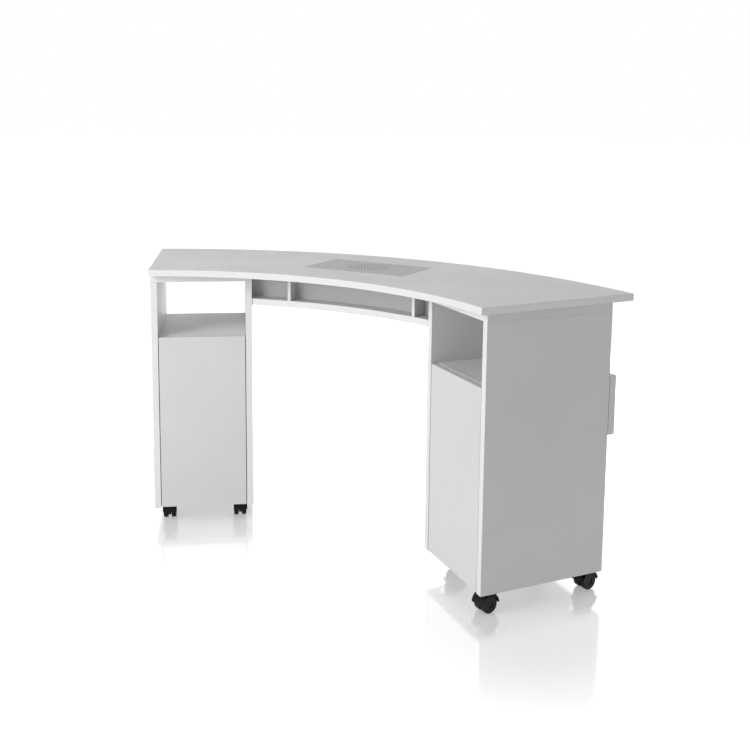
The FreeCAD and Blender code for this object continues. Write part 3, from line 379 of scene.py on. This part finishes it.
# ----------------------------------------------------------------- studio
def stage_material():
    m = bpy.data.materials.new("studio_floor")
    m.use_nodes = True
    t = m.node_tree
    t.nodes.clear()
    out = t.nodes.new("ShaderNodeOutputMaterial")
    diff = t.nodes.new("ShaderNodeBsdfDiffuse")
    diff.inputs[0].default_value = (0.86, 0.86, 0.86, 1)
    emit = t.nodes.new("ShaderNodeEmission")
    lp = t.nodes.new("ShaderNodeLightPath")
    mr = t.nodes.new("ShaderNodeMapRange")
    t.links.new(lp.outputs["Is Diffuse Ray"], mr.inputs[0])
    mr.inputs[3].default_value, mr.inputs[4].default_value = FLOOR_GLOW, FLOOR_GLOW_D
    t.links.new(mr.outputs[0], emit.inputs["Strength"])
    add = t.nodes.new("ShaderNodeAddShader")
    gloss = t.nodes.new("ShaderNodeBsdfGlossy")
    gloss.inputs["Color"].default_value = (0.95, 0.95, 0.95, 1)
    gloss.inputs["Roughness"].default_value = 0.11
    mix = t.nodes.new("ShaderNodeMixShader")
    # the floor is polished round the pedestals and duller further off
    tc = t.nodes.new("ShaderNodeTexCoord")
    near = []
    for foot in ((0.50, -0.06, 0.0), (-0.50, -0.06, 0.0)):
        d = t.nodes.new("ShaderNodeVectorMath")
        d.operation = "DISTANCE"
        t.links.new(tc.outputs["Object"], d.inputs[0])
        d.inputs[1].default_value = foot
        near.append(d.outputs["Value"])
    low = t.nodes.new("ShaderNodeMath")
    low.operation = "MINIMUM"
    t.links.new(near[0], low.inputs[0])
    t.links.new(near[1], low.inputs[1])
    fade = t.nodes.new("ShaderNodeMapRange")
    fade.interpolation_type = "SMOOTHSTEP"
    for i, v in enumerate((0.30, 0.85, FLOOR_GLOSS, 0.06)):
        fade.inputs[i + 1].default_value = v
    t.links.new(low.outputs[0], fade.inputs[0])
    t.links.new(fade.outputs[0], mix.inputs[0])
    t.links.new(diff.outputs[0], add.inputs[0])
    t.links.new(emit.outputs[0], add.inputs[1])
    t.links.new(add.outputs[0], mix.inputs[1])
    t.links.new(gloss.outputs[0], mix.inputs[2])
    t.links.new(mix.outputs[0], out.inputs[0])
    return m


FLOOR_GLOW, FLOOR_GLOW_D, FLOOR_GLOSS = 0.72, 0.0, 0.55
WORLD_SEEN, WORLD_LIGHT = 1.0, 0.39
me = bpy.data.meshes.new("studio_floor")
s = 60.0
me.from_pydata([(-s, -s, 0), (s, -s, 0), (s, s, 0), (-s, s, 0)], [], [(0, 1, 2, 3)])
floor = bpy.data.objects.new("studio_floor", me)
bpy.context.scene.collection.objects.link(floor)
me.materials.append(stage_material())

world = bpy.data.worlds.new("studio_world")
bpy.context.scene.world = world
world.use_nodes = True
wt = world.node_tree
wt.nodes.clear()
wo = wt.nodes.new("ShaderNodeOutputWorld")
wb = wt.nodes.new("ShaderNodeBackground")
wl = wt.nodes.new("ShaderNodeLightPath")
wm = wt.nodes.new("ShaderNodeMapRange")
wt.links.new(wl.outputs["Is Diffuse Ray"], wm.inputs[0])
wm.inputs[3].default_value, wm.inputs[4].default_value = WORLD_SEEN, WORLD_LIGHT
wb.inputs["Color"].default_value = (1, 1, 1, 1)
wt.links.new(wm.outputs[0], wb.inputs["Strength"])
wt.links.new(wb.outputs[0], wo.inputs[0])


def softbox(name, loc, target, size, power):
    d = bpy.data.lights.new(name, "AREA")
    d.shape, d.size, d.size_y, d.energy = "RECTANGLE", size[0], size[1], power
    o = bpy.data.objects.new(name, d)
    bpy.context.scene.collection.objects.link(o)
    o.location = loc
    o.rotation_mode = "QUATERNION"
    o.rotation_quaternion = (Vector(target) - Vector(loc)).to_track_quat("-Z", "Y")
    o.visible_camera = False
    return o


key = softbox("key_softbox", (-0.9, -2.1, 1.45), (0.0, -0.1, 0.45), (1.3, 1.2), 38.0)
key.visible_glossy = False
rear = softbox("rear_softbox", (-0.1, 2.7, 0.85), (0.0, 0.0, 0.62), (3.2, 1.5), 54.0)
rear.visible_glossy = False
top_light = bpy.data.lights.new("overhead", "SUN")
top_light.energy, top_light.angle = 0.22, math.radians(40)
top_obj = bpy.data.objects.new("overhead", top_light)
bpy.context.scene.collection.objects.link(top_obj)
top_obj.rotation_euler = (math.radians(6), math.radians(-4), 0)
